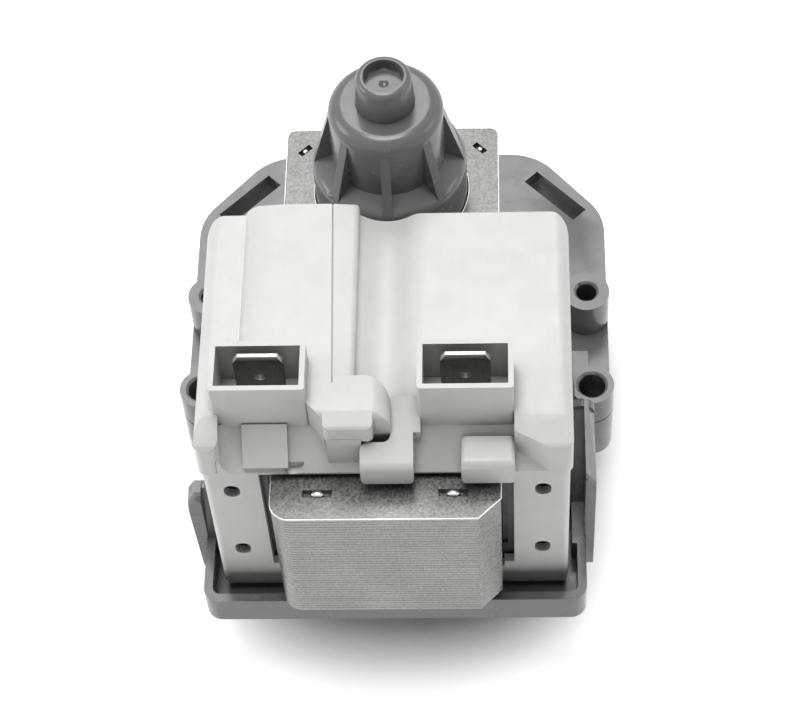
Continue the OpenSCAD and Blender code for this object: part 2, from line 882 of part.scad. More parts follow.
module coil_housing() {
    half = housing_w / 2;
    plan_r = 1;
    color([0.92, 0.92, 0.9])
        difference() {
            intersection() {
                along_z(housing_z0, housing_z1)
                    round_rect([-half, -housing_front], [half, -housing_back], plan_r);
                along_y(-housing_front - over, -housing_back + over)
                    round_rect([-half, housing_z0], [half, housing_z1 + 2 * over], housing_edge_r);
                along_x(-half - over, half + over)
                    polygon(concat(
                        arc([-housing_front + housing_toe_r, housing_z0 + housing_toe_r],
                            housing_toe_r, 180, 270),
                        [[-housing_back, housing_z0], [-housing_back, housing_z1 + over],
                         [-housing_front, housing_z1 + over]]));
            }
            along_y(-housing_front + wall, -housing_back - wall)
                round_rect([-half + wall, housing_z0 + wall],
                           [half - wall, housing_z1 + housing_edge_r], housing_edge_r - wall);
            block([-arm_x1 - window_side, -housing_front - over, core_z0 + window_ledge],
                  [arm_x1 + window_side, -housing_front + 2 * wall, housing_z1 + over]);
            for (y = [-housing_front + wall / 2, -housing_back - wall / 2])
                translate([0, y, 0])
                    block([-arm_x1 - core_margin, -wall, core_z0 - core_margin],
                          [arm_x1 + core_margin, wall, housing_z1 + over]);
            for (side = [-1, 1], z = [core_z0 + vent_low, core_z0 + vent_high])
                along_y(-housing_front - over, -housing_front + wall + over)
                    vent_outline(side * vent_x, z);
        }
}

// Upper coil cover

// Side profile of the cover: lip, slope, flat top and rounded back edge
module cover_profile() {
    back_r = 0.4;
    polygon(concat(
        [[-cover_front, housing_z1], [-cover_front, housing_z1 + lip_h],
         [-cover_front + 0.5, housing_z1 + lip_h + 0.6],
         [-cover_front + slope_d - 0.8, cover_z1 - 0.15], [-cover_front + slope_d + 0.6, cover_z1]],
        arc([-cover_back - back_r, cover_z1 - back_r], back_r, 90, 0),
        [[-cover_back, housing_z1]]));
}

module cover_block() {
    half = cover_w / 2;
    plan_r = 3.2;
    intersection() {
        along_x(-half, half)
            cover_profile();
        along_y(-cover_front - over, -cover_back + over)
            round_rect([-half, housing_z1 - 2 * cover_edge_r], [half, cover_z1], cover_edge_r);
        along_z(housing_z1, cover_z1 + over)
            union() {
                round_rect([-half, -cover_front], [half, -cover_back - 2 * plan_r], 1);
                round_rect([-half, -cover_back - 4 * plan_r], [half, -cover_back], plan_r);
            }
    }
}

// Front of the cover under the sockets, cut back to a steep slope
module front_notch() {
    x0 = tab_left_x - socket_w / 2 + socket_wall;
    x1 = tab_right_x + socket_w / 2;
    corner = 1.2;
    run_out = [4.4, 1.9];
    front = -cover_front - over;
    intersection() {
        along_x(x0 - 2 * corner, x1 + run_out[0] + over)
            polygon([slope_low - [over, 0], [front, cover_z1 + over],
                     [slope_high[0], cover_z1 + over], slope_high, slope_low]);
        along_z(housing_z1, cover_z1 + over)
            polygon(concat(
                [[x0 - corner, front], [x1 + run_out[0], front], [x1 + run_out[0], -cover_front],
                 [x1, -cover_front + run_out[1]], [x1, slope_high[0]], [x0, slope_high[0]]],
                arc([x0 - corner, -cover_front + corner], corner, 360, 270)));
    }
}

// Soft inner corner between the slope and the cover's left front block
module notch_fillet() {
    x0 = tab_left_x - socket_w / 2 + socket_wall;
    r = 1.6;
    root = 0.5;
    intersection() {
        translate([x0, slope_low[0], slope_low[1]])
            rotate([atan2(slope_run[1], slope_run[0]), 0, 0])
                along_y(-over, norm(slope_run))
                    polygon(concat(
                        [[-root, -root], [r, -root]],
                        arc([r, r], r, 270, 180),
                        [[-root, r]]));
        block([x0 - over, -cover_front, housing_z1], [x0 + 2 * r, -socket_back, cover_z1]);
    }
}

// Soft valley between the coils: a hollow that runs smoothly into the top on either side
module cover_valley() {
    half = valley_w / 2;
    r = (pow(half, 2) / valley_depth + valley_depth) / 4;
    turn = asin(half / 2 / r);
    along_y(-channel_front - neck_set, -cover_back + over)
        polygon(concat(
            [[-half, cover_z1 + over]],
            arc([-half, cover_z1 - r], r, 90, 90 - turn),
            arc([0, cover_z1 - valley_depth + r], r, 270 - turn, 270 + turn, 12),
            arc([half, cover_z1 - r], r, 90 + turn, 90),
            [[half, cover_z1 + over]]));
}

// Raised channel over the thermal protector, with a soft left step
module protector_channel() {
    top = cover_z1 + channel_h;
    edge = 0.7;
    dip = 0.3;
    crease = 4.6;
    along_y(-channel_front, -cover_back)
        polygon(concat(
            [[-channel_left - 0.6, cover_z1 - 0.5], [-channel_left, cover_z1 + 0.7],
             [-channel_left + 0.7, top - 0.4 - dip], [-channel_left + 1.4, top - dip],
             [-channel_left + crease, top], [-channel_right - seam_in, top]],
            arc([-channel_right - edge, top - dip - edge], edge, 90, 0),
            [[-channel_right, cover_z1 - valley_depth - 0.4]]));
}

module socket_outer(x) {
    along_z(ceiling_z, socket_z)
        round_rect([x - socket_w / 2, -notch_y], [x + socket_w / 2, -socket_back], 0.4);
}

module socket_inner(x) {
    half = [socket_w / 2 - socket_wall, socket_d / 2 - socket_wall];
    middle = (notch_y + socket_back) / 2;
    slot = [tab_w / 2 + loose_gap, tab_t / 2 + loose_gap];
    block([x - half[0], -middle - half[1], socket_floor_z],
          [x + half[0], -middle + half[1], socket_z + over]);
    block([x - slot[0], -tab_y - slot[1], ceiling_z - over],
          [x + slot[0], -tab_y + slot[1], socket_z]);
}

// Front outline of a hook: round lower corners, and upper ones of their own radius
module hook_front_outline(x, top, r_low, r_top) {
    foot = core_z1 + hook_foot;
    polygon(concat(
        arc([x[0] + r_low, foot + r_low], r_low, 180, 270),
        arc([x[1] - r_low, foot + r_low], r_low, 270, 360),
        arc([x[1] - r_top, top - r_top], r_top, 0, 90),
        arc([x[0] + r_top, top - r_top], r_top, 90, 180)));
}

// Side profile of a hook, whose top climbs to a height at its back
module hook_profile(back, back_top) {
    foot = core_z1 + hook_foot;
    toe = 0.6;
    polygon(concat(
        [[-back, foot]],
        arc([-hook_front + toe, foot + toe], toe, 270, 180, 4),
        arc([-hook_front + hook_brow, hook_z1 - hook_brow], hook_brow, 180, 90, 4),
        back_top));
}

// Foot under the right socket that reaches over the yoke
module right_hook() {
    back = cover_front - hook_back;
    intersection() {
        along_x(right_hook_x[0], right_hook_x[1])
            hook_profile(back, [[-back, hook_z1]]);
        along_y(-hook_front - over, -back + over)
            hook_front_outline(right_hook_x, hook_z1, 1.5, 0.8);
    }
}

// Height of the left hook's climbing top at a distance behind the rotor axis
function climb_z(y) =
    let (back = -channel_front - neck_set)
    cover_z1 - (cover_z1 - hook_z1) * (back - y) / (back + hook_front - hook_brow);

// Foot in the middle, whose top climbs back beside the right socket
module left_hook() {
    back = channel_front + neck_set;
    shoulder = -cover_front + 1.3;
    turn = 1;
    intersection() {
        along_x(left_hook_x[0], left_hook_x[1])
            hook_profile(back, [[-back, cover_z1]]);
        along_y(-hook_front - over, -back + over)
            hook_front_outline(left_hook_x, cover_z1 + over, 1.5, 0.8);
        along_z(core_z1, cover_z1 + over)
            polygon(concat(
                [[left_hook_x[0], -hook_front - over], [left_hook_x[1], -hook_front - over],
                 [left_hook_x[1], -back], [neck_left, -back]],
                arc([neck_left - turn, shoulder + turn], turn, 0, -90),
                arc([left_hook_x[0] + turn, shoulder - turn], turn, 90, 180)));
    }
}

// Lead-out hump at the front end of the channel, rolled off to the right and the front
module lead_hump() {
    top = cover_z1 + channel_h;
    foot = housing_z1 + 1;
    corner = 3.4;
    cut = 2.3;
    roll = 2.6;
    brow = 1.4;
    y1 = -channel_front + 0.1;
    y0 = y1 - hump_d;
    intersection() {
        along_z(foot, top)
            polygon(concat(
                [[hump_left, y0 + cut], [hump_left + cut, y0], [hump_right, y0]],
                arc([hump_right - corner, y1 - corner], corner, 0, 90, 8),
                [[hump_left, y1]]));
        along_y(y0 - over, y1 + over)
            polygon(concat(
                [[hump_left, foot], [hump_right, foot]],
                arc([hump_right - roll, top - roll], roll, 0, 90, 8),
                [[hump_left, top]]));
        along_x(hump_left, hump_right)
            polygon(concat(
                [[y1, foot], [y1, top]],
                arc([y0 + brow, top - brow], brow, 90, 180),
                [[y0, foot]]));
    }
}

// Flat-topped nose in front of the hump, with a narrower column below it
module hump_nose() {
    top = cover_z1 + channel_h - 0.1;
    foot = socket_floor_z + 0.2;
    front = -cover_front + 1;
    back = -channel_front - 4;
    facet = 2.1;
    fall = 0.75;
    ease = 0.3;
    corner = 0.8;
    intersection() {
        along_z(foot, top)
            round_rect([nose_x[0], front], [nose_x[1], back], corner);
        along_x(nose_x[0] - over, nose_x[1] + over)
            polygon([[front, foot], [front, top - fall - ease], [front + ease, top - fall],
                     [front + facet, top], [back, top], [back, foot]]);
    }
    block([nose_x[0] + 0.3, front - 0.1, housing_z1 + 0.8], [nose_x[1] - 1.6, back, foot + 0.5]);
}

// Pad on the slope under the left socket
module slope_pad() {
    lift = 0.8;
    out = lift * [-slope_run[1], slope_run[0]] / norm(slope_run);
    low = slope_low + 0.14 * slope_run;
    along_x(tab_left_x - 2.5, tab_left_x + 3.3)
        polygon([low, low + out, slope_high + out, slope_high]);
}

// Block beside the right socket, in line with the left hook's climbing top
module neck_block() {
    front = -cover_front + 2.4;
    back = -channel_front - neck_set;
    foot = socket_floor_z - 1.5;
    along_x(neck_left, neck_left + neck_w)
        polygon([[front, foot], [front, climb_z(front)], [back, cover_z1], [back, foot]]);
}

// Edge of the cover's top, cut down in line with the same climb
module neck_cut() {
    front = slope_high[0] - over;
    back = -channel_front - neck_set;
    along_x(neck_left, neck_left + neck_w)
        polygon([[front, climb_z(front)], [back, cover_z1], [back, cover_z1 + over],
                 [front, cover_z1 + over]]);
}

// Fine seam along the channel's top
module channel_seam() {
    seam = 0.22;
    top = cover_z1 + channel_h;
    translate([-channel_right - seam_in, -cover_back, top - 0.3])
        rotate(1.5)
            translate([0, -(channel_front - cover_back) - over, 0])
                cube([seam, channel_front - cover_back + 2 * over, 0.3 + over]);
}

// Shallow round mark on the slope beside the left socket
module slope_mark() {
    translate([tab_left_x + 3.8, -cover_front + over, housing_z1 + 1.6])
        rotate([90, 0, 0])
            cylinder(d = 3, h = 2 * over);
}

// Inner face of the sloping front at a height
function slope_inner_y(z) =
    let (inner = slope_low + slope_wall * [slope_run[1], -slope_run[0]] / norm(slope_run))
    inner[0] + (z - inner[1]) * slope_run[0] / slope_run[1];

// Hollow over the windings, lower under the sockets and the valley
module cover_cavity() {
    half = cover_w / 2 - wall;
    back = -housing_back - wall;
    along_x(-half, half)
        polygon([[slope_inner_y(housing_z1 - over), housing_z1 - over],
                 [slope_inner_y(ceiling_z), ceiling_z],
                 [back, ceiling_z], [back, housing_z1 - over]]);
    both_sides()
        block([valley_w / 2 - cover_roof_t / 2, -socket_back + 0.6, housing_z1],
              [half - 0.6, back, cover_z1 - cover_roof_t]);
    block([-channel_left + 1.6, -socket_back + 0.6, housing_z1],
          [-channel_right - wall, back, cover_z1 + channel_h - wall]);
}

module coil_cover() {
    color([0.93, 0.93, 0.91])
        difference() {
            union() {
                difference() {
                    cover_block();
                    front_notch();
                    neck_cut();
                    cover_valley();
                    slope_mark();
                }
                protector_channel();
                for (x = [tab_left_x, tab_right_x])
                    socket_outer(x);
                lead_hump();
                hump_nose();
                slope_pad();
                notch_fillet();
                neck_block();
                left_hook();
                right_hook();
            }
            cover_cavity();
            channel_seam();
            for (x = [tab_left_x, tab_right_x])
                socket_inner(x);
        }
}

// Terminals, protector and wires

module terminal(x) {
    tip = [0.6, 1];
    lead = [0.25, 0.9];
    half = tab_w / 2;
    front = -tab_y - tab_t / 2;
    foot = half + 0.8;
    low = socket_floor_z;
    step = low + 0.6;
    top = low + tab_h;
    stem = wind_top + 0.3;
    color([0.78, 0.77, 0.73])
        difference() {
            along_y(front, front + tab_t)
                translate([x, 0])
                    polygon([[-half, stem], [half, stem], [half, low], [foot, low], [foot, step],
                             [half, step], [half, top - tip[1]], [half - tip[0], top],
                             [-half + tip[0], top], [-half, top - tip[1]], [-half, step],
                             [-foot, step], [-foot, low], [-half, low]]);
            along_x(x - tab_w, x + tab_w)
                polygon([[front, top - lead[1]], [front + lead[0], top], [front, top + over],
                         [front - over, top]]);
            translate([x, -tab_y + over, top - 4.2])
                rotate([90, 0, 0])
                    cylinder(d = 1.5, h = 2 * over);
        }
}

module terminal_left() {
    terminal(tab_left_x);
}

module terminal_right() {
    terminal(tab_right_x);
}

protector_x = -(channel_left + channel_right) / 2;
protector_y0 = -tab_y + 4.2;
protector_y1 = protector_y0 + protector_len;

module thermal_protector() {
    color([0.15, 0.15, 0.16])
        along_z(wind_top, wind_top + protector_h)
            round_rect([protector_x - protector_w / 2, protector_y0],
                       [protector_x + protector_w / 2, protector_y1], 1);
}

// Straight wire along Y that then turns down onto the winding
module turned_wire(x, y0, y1) {
    translate([x, y0, wire_z])
        rotate([-90, 0, 0])
            cylinder(d = wire_d, h = y1 - y0);
    translate([x, y1, wind_top])
        cylinder(d = wire_d * 1.2, h = wire_z + wire_d * 0.6 - wind_top);
}

module terminal_lead_left() {
    color([0.8, 0.2, 0.15])
        translate([protector_x - 2.5, -tab_y + tab_t / 2, wire_z])
            rotate([-90, 0, 0])
                cylinder(d = wire_d, h = protector_y0 + tab_y - tab_t / 2);
}

module protector_lead() {
    color([0.8, 0.2, 0.15])
        turned_wire(protector_x, protector_y1, protector_y1 + 1.6);
}

module terminal_lead_right() {
    color([0.2, 0.3, 0.7])
        turned_wire(tab_right_x, -tab_y + tab_t / 2, -tab_y + 5);
}

module crossover_lead() {
    reach = arm_mid / 2;
    y = bobbin_y1 - bobbin_flange_t - 2 * wire_d;
    color([0.72, 0.4, 0.2]) {
        translate([-reach, y, wire_z])
            rotate([0, 90, 0])
                cylinder(d = wire_d, h = 2 * reach);
        both_sides()
            translate([reach, y, wind_top])
                cylinder(d = wire_d * 1.2, h = wire_z + wire_d * 0.6 - wind_top);
    }
}

// Bearings

// Cap in the can's mouth that carries the front bush
module front_bearing_carrier() {
    color([0.82, 0.82, 0.78])
        rotate_extrude()
            polygon([[shaft_r + 0.6, carrier_z], [carrier_r, carrier_z], [carrier_r, carrier_seat_z],
                     [can_inner_r - loose_gap, carrier_seat_z],
                     [can_inner_r - loose_gap, carrier_seat_z + carrier_spigot_h],
                     [bush_r + seat_gap, carrier_seat_z + carrier_spigot_h],
                     [bush_r + seat_gap, front_bush_z0], [shaft_r + 0.6, front_bush_z0]]);
}

module front_bearing() {
    color([0.35, 0.33, 0.32])
        ring(shaft_r + running_gap, bush_r, front_bush_z0, front_bush_z1);
}

// Rubber cup in the can's neck that holds the rear bush
module rear_bearing_cup() {
    color([0.12, 0.12, 0.13])
        rotate_extrude()
            polygon([[shaft_r + 0.6, rear_bush_z1], [bush_r + seat_gap, rear_bush_z1],
                     [bush_r + seat_gap, rear_cup_z0], [neck_inner_r - seat_gap, rear_cup_z0],
                     [neck_inner_r - seat_gap, neck_roof_z], [shaft_r + 0.6, neck_roof_z]]);
}

module rear_bearing() {
    color([0.35, 0.33, 0.32])
        ring(shaft_r + running_gap, bush_r, rear_bush_z0, rear_bush_z1);
}

// Rotor

module rotor_shaft() {
    chamfer = 0.4;
    color([0.8, 0.8, 0.82])
        rotate_extrude()
            polygon([[0, shaft_z0], [shaft_r - chamfer, shaft_z0], [shaft_r, shaft_z0 + chamfer],
                     [shaft_r, shaft_z1 - chamfer], [shaft_r - chamfer, shaft_z1], [0, shaft_z1]]);
}

module rotor_sleeve() {
    disc_r = magnet_d / 2 - 0.6;
    bore_r = shaft_r + seat_gap;
    color([0.2, 0.2, 0.22])
        rotate_extrude()
            polygon([[bore_r, rotor_z0], [disc_r, rotor_z0], [disc_r, magnet_z0],
                     [sleeve_d / 2, magnet_z0], [sleeve_d / 2, magnet_z1], [disc_r, magnet_z1],
                     [disc_r, rotor_z1], [bore_r, rotor_z1]]);
}

module rotor_magnet() {
    color([0.25, 0.25, 0.26])
        ring(sleeve_d / 2 + seat_gap, magnet_d / 2, magnet_z0, magnet_z1);
}

module front_thrust_washer() {
    color([0.9, 0.9, 0.86])
        ring(shaft_r + seat_gap, bush_r - 0.3, rotor_z0 - washer_t, rotor_z0);
}

module rear_thrust_washer() {
    color([0.9, 0.9, 0.86])
        ring(shaft_r + seat_gap, bush_r - 0.3, rotor_z1, rotor_z1 + washer_t);
}

// Dog fixed to the shaft; it turns freely in the hub until it meets a bumper
module drive_dog() {
    color([0.86, 0.85, 0.8])
        along_z(dog_z0, dog_z1)
            difference() {
                union() {
                    circle(dog_hub_r);
                    sector(shaft_r + 0.8, dog_r, 0, dog_half);
                }
                circle(shaft_r + seat_gap);
            }
}

module impeller_retainer() {
    color([0.8, 0.8, 0.82])
        ring(shaft_r + seat_gap, shaft_r + 1.5, retainer_z1 - retainer_t, retainer_z1);
}

// Impeller

module impeller() {
    tip = 3;
    color([0.25, 0.26, 0.28])
        difference() {
            union() {
                ring(hub_r, hub_outer_r, -hub_depth, 0);
                ring(shaft_r + running_gap, hub_r + over / 2, -hub_depth, hub_floor_z);
                ring(hub_outer_r - over / 2, impeller_r, -disc_t, 0);
                for (i = [0 : blade_n - 1])
                    rotate(360 * i / blade_n + 30)
                        translate([0, blade_t / 2, 0])
                            rotate([90, 0, 0])
                                linear_extrude(blade_t)
                                    polygon([[hub_outer_r - over, -disc_t / 2],
                                             [impeller_r, -disc_t / 2],
                                             [impeller_r, tip - blade_depth],
                                             [impeller_r - tip, -blade_depth],
                                             [hub_outer_r + 1, -blade_depth],
                                             [hub_outer_r - over, -hub_depth]]);
                along_z(-hub_depth, dog_z1)
                    sector(dog_hub_r + 0.4, hub_r + over / 2, 180, key_half);
            }
            ring(dog_hub_r + 0.4, hub_r, dog_z1, over);
        }
}

module impeller_hub_cover() {
    color([0.25, 0.26, 0.28])
        ring(dog_hub_r + 0.5, hub_outer_r, 0, hub_cover_t);
}

// Two rubber blocks on the flanks of the impeller's key
module coupling_bumpers() {
    middle = key_half + bumper_angle / 2;
    color([0.1, 0.1, 0.11])
        for (side = [-1, 1])
            along_z(hub_floor_z, dog_z1 - 0.4)
                sector(dog_hub_r + 0.5, hub_r - 0.2, 180 + side * middle, bumper_angle / 2);
}

pump_flange();
flange_seal();
core_laminations();
bobbin_left();
bobbin_right();
winding_left();
winding_right();
coil_housing();
coil_cover();
terminal_left();
terminal_right();
thermal_protector();
terminal_lead_left();
protector_lead();
crossover_lead();
terminal_lead_right();
front_bearing_carrier();
front_bearing();
rear_bearing_cup();
rear_bearing();
rotor_shaft();
rotor_sleeve();
rotor_magnet();
front_thrust_washer();
rear_thrust_washer();
drive_dog();
impeller_retainer();
impeller();
impeller_hub_cover();
coupling_bumpers();
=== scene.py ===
import json
import math

import bmesh
import bpy
from mathutils import Matrix, Vector

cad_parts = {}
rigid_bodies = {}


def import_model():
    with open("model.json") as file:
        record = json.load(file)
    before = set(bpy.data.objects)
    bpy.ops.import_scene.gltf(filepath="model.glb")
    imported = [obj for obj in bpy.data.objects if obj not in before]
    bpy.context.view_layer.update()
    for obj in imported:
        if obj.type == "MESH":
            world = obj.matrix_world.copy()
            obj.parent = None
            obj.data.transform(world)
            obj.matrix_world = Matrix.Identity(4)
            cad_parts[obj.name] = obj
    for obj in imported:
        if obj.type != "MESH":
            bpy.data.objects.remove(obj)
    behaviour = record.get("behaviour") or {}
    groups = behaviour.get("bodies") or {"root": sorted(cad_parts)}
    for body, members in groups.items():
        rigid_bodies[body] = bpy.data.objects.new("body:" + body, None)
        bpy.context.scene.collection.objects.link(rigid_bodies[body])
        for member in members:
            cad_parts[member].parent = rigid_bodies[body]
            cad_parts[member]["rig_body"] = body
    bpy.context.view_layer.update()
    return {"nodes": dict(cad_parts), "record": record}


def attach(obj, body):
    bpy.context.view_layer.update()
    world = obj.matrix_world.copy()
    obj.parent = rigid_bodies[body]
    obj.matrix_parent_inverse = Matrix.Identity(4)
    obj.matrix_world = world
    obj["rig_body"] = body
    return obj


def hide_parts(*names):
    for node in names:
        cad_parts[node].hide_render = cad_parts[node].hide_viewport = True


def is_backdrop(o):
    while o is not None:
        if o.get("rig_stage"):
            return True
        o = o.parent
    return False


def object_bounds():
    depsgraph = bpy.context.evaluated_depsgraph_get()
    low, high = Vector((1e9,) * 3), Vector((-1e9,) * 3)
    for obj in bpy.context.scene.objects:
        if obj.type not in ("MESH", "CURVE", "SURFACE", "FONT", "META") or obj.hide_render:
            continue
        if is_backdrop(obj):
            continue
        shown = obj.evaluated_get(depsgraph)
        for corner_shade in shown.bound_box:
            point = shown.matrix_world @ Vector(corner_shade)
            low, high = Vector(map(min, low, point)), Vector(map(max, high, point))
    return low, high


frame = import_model()
nodes = frame["nodes"]
scene = bpy.context.scene

MM = 0.001

# Sizes of the solids that the looks depend on, in millimetres
CORE_BOTTOM = 9.8
CORE_TOP = 34.5
PLATE_PITCH = 0.65
YOKE_MARK = (8.7, -48.7)
ARM_MARK = (12.2, 6.8)
# Opposite corners of a box round each guide's upper front edges, and the radius they get
GUIDE_ROUNDS = (
    ((25.9, -40.3, 21.3), (27.6, -40.1, 23.3), 1.8),
    ((-28.1, -40.3, 16.7), (-26.0, -40.1, 18.7), 1.2),
)

# Sizes of what the looks add, in millimetres
EASED_EDGES = (
    ("pump_flange", 0.3, GUIDE_ROUNDS),
    ("coil_cover", 0.25, ()),
    ("coil_housing", 0.3, ()),
    ("terminal_left", 0.12, ()),
    ("terminal_right", 0.12, ()),
)
BURR_RADIUS = 0.11
BURR_FREE_REACH = 2.4
YOKE_DOME = (0.85, 0.52, 0.42)
YOKE_DOME_DEPTH = 0.15
ARM_DOME = (0.42, 0.42, 0.38)
ARM_DOME_DEPTH = 0.35
# reach of the painted shadow round the part on the floor
PAINTED_SHADOW_REACH = 30

# Limits for reading the solids' meshes, in metres and radians
SAME_POINT = 2e-6
SAME_LEVEL = 1e-5
SAME_FACE_ANGLE = 0.01
EASED_ANGLE = math.radians(28.0)
SHARP_ANGLE = 0.6
# A face is upright or level by the Z part of its direction
UPRIGHT_FACE = 0.2
LEVEL_FACE = 0.9

# Fineness of the added shapes
EASED_SEGMENTS = 2
GUIDE_SEGMENTS = 6
DOME_RINGS = 6
DOME_STEPS = 24

# Stage, in metres and watts
FLOOR_HALF = 1.6
FLOOR_GAP = 0.0002
SKY_LIGHT = 0.1
SKY_SHOWN = 1.0
LAMP_AIM = (0, -0.02, 0.02)
LAMP_SIZE = 0.5

# Camera at the photograph's viewing angle, in metres, with its lens and sensor in millimetres
EYE = Vector((0.01611, -0.20559, 0.30560))
FORWARD = Vector((-0.0448, 0.5469, -0.8361)).normalized()
UPWARD = Vector((0.0111, 0.8372, 0.5471))
LENS = 110.5
SENSOR = 36
NEAREST = 0.01

# Sockets of the Mix node that blend colours
MIX_FIRST = 6
MIX_SECOND = 7
MIX_RESULT = 2


# Node helpers

class Nodes:
    """A material's node tree, with short calls for the nodes used here."""

    def __init__(self, name):
        self.material = bpy.data.materials.new(name)
        self.material.use_nodes = True
        self.tree = self.material.node_tree
        self.tree.nodes.clear()
        self.output = self.tree.nodes.new("ShaderNodeOutputMaterial")
        self.shader = self.tree.nodes.new("ShaderNodeBsdfPrincipled")
        self.link(self.shader.outputs["BSDF"], self.output.inputs["Surface"])
        self.place = self.tree.nodes.new("ShaderNodeTexCoord").outputs["Object"]

    def link(self, source, target):
        self.tree.links.new(source, target)

    def stretched(self, scale):
        """Object coordinates multiplied per axis, for streaks and layers."""
        mapping = self.tree.nodes.new("ShaderNodeMapping")
        mapping.inputs["Scale"].default_value = scale
        self.link(self.place, mapping.inputs["Vector"])
        return mapping.outputs["Vector"]

    def noise(self, scale, detail=3.0, roughness=0.55, vector=None):
        noise = self.tree.nodes.new("ShaderNodeTexNoise")
        noise.inputs["Scale"].default_value = scale
        noise.inputs["Detail"].default_value = detail
        noise.inputs["Roughness"].default_value = roughness
        self.link(vector or self.place, noise.inputs["Vector"])
        return noise.outputs["Fac"]

    def stretched_noise(self, scale, roughness=0.6):
        return self.noise(1.0, roughness=roughness, vector=self.stretched(scale))

    def ramp(self, factor, stops):
        ramp = self.tree.nodes.new("ShaderNodeValToRGB")
        elements = ramp.color_ramp.elements
        while len(elements) < len(stops):
            elements.new(0.5)
        for element, (position, colour) in zip(elements, stops):
            element.position = position
            element.color = (*colour, 1)
        self.link(factor, ramp.inputs["Fac"])
        return ramp.outputs["Color"]

    def greys(self, factor, stops):
        return self.ramp(factor, [(position, (level, level, level)) for position, level in stops])

    def span(self, factor, low, high, start=0.0, stop=1.0, clamp=True):
        """A factor moved from start and stop to low and high."""
        span = self.tree.nodes.new("ShaderNodeMapRange")
        span.clamp = clamp
        span.inputs["From Min"].default_value = start
        span.inputs["From Max"].default_value = stop
        span.inputs["To Min"].default_value = low
        span.inputs["To Max"].default_value = high
        self.link(factor, span.inputs["Value"])
        return span.outputs["Result"]

    def math(self, operation, first, second=None):
        node = self.tree.nodes.new("ShaderNodeMath")
        node.operation = operation
        self.link(first, node.inputs[0])
        if second is not None:
            self.link(second, node.inputs[1])
        return node.outputs["Value"]

    def axis(self, vector, name):
        split = self.tree.nodes.new("ShaderNodeSeparateXYZ")
        self.link(vector, split.inputs["Vector"])
        return split.outputs[name]

    def normal(self, name):
        """One part of the surface's direction, without its sign."""
        geometry = self.tree.nodes.new("ShaderNodeNewGeometry")
        return self.math("ABSOLUTE", self.axis(geometry.outputs["Normal"], name))

    def blend(self, kind, factor, first, second):
        """Blends two colours, each a socket or a constant."""
        mix = self.tree.nodes.new("ShaderNodeMix")
        mix.data_type = "RGBA"
        mix.blend_type = kind
        if isinstance(factor, float):
            mix.inputs["Factor"].default_value = factor
        else:
            self.link(factor, mix.inputs["Factor"])
        for socket, value in ((mix.inputs[MIX_FIRST], first), (mix.inputs[MIX_SECOND], second)):
            if isinstance(value, tuple):
                socket.default_value = (*value, 1)
            else:
                self.link(value, socket)
        return mix.outputs[MIX_RESULT]

    def times(self, first, second, amount=1.0):
        return self.blend("MULTIPLY", amount, first, second)

    def occlusion(self, reach, samples, only_local):
        """How open a place is: 1 on a free face, and less near other faces within a reach."""
        occlusion = self.tree.nodes.new("ShaderNodeAmbientOcclusion")
        occlusion.inputs["Distance"].default_value = reach * MM
        occlusion.samples = samples
        occlusion.only_local = only_local
        return occlusion.outputs["AO"]

    def painted_crevice_shade(self, reach, dark):
        """Painted shade: grey that is white on open faces and falls to a dark level in a piece's own
        corners, where shade falls.
        """
        open_share = self.occlusion(reach, samples=4, only_local=True)
        return self.greys(open_share, [(0.15, dark), (0.8, 1.0)])

    def bump(self, layers):
        """Stacks bump layers of (height, strength, distance in millimetres)."""
        normal = None
        for height, strength, distance in layers:
            bump = self.tree.nodes.new("ShaderNodeBump")
            bump.inputs["Strength"].default_value = strength
            bump.inputs["Distance"].default_value = distance * MM
            self.link(height, bump.inputs["Height"])
            if normal is not None:
                self.link(normal, bump.inputs["Normal"])
            normal = bump.outputs["Normal"]
        self.link(normal, self.shader.inputs["Normal"])

    def set(self, **values):
        for name, value in values.items():
            self.shader.inputs[name.replace("_", " ")].default_value = value

    def colour(self, socket):
        self.link(socket, self.shader.inputs["Base Color"])

    def roughness(self, socket):
        self.link(socket, self.shader.inputs["Roughness"])


# Materials

def moulded(name, light, shade, rough, grain=0.3, corner_shade=0.75, mottle=1.0):
    """Moulded plastic: slow tone drift, flow streaks, specks, duller patches and painted shade in
    its own corners.
    """
    n = Nodes(name)
    drift = n.noise(90, detail=4)
    streak = n.stretched_noise((900, 45, 120))
    speck = n.noise(1900, detail=2, roughness=0.6)
    fine = n.noise(4200, detail=2, roughness=0.6)
    blotch = n.noise(330, detail=5, roughness=0.65)
    tone = n.ramp(drift, [(0.3, shade), (0.7, light)])
    tone = n.times(tone, n.greys(streak, [(0.3, 0.985), (0.6, 1.0)]))
    tone = n.times(tone, n.greys(blotch, [(0.35, 1 - 0.035 * mottle), (0.6, 1.0)]))
    tone = n.times(tone, n.greys(speck, [(0.2, 1 - 0.14 * mottle), (0.3, 1.0)]))
    # painted shade: the colour darkens to the given dark level in the piece's own corners and
    # recesses
    n.colour(n.times(tone, n.painted_crevice_shade(reach=5.0, dark=corner_shade)))
    n.roughness(n.span(n.noise(420), low=rough - 0.06, high=rough + 0.09, start=0.3, stop=0.7))
    n.bump([(drift, 0.25, 0.12), (blotch, 0.12 * mottle, 0.04), (speck, grain * 0.5, 0.02),
            (fine, grain, 0.012)])
    n.set(Specular_IOR_Level=0.5)
    return n.material


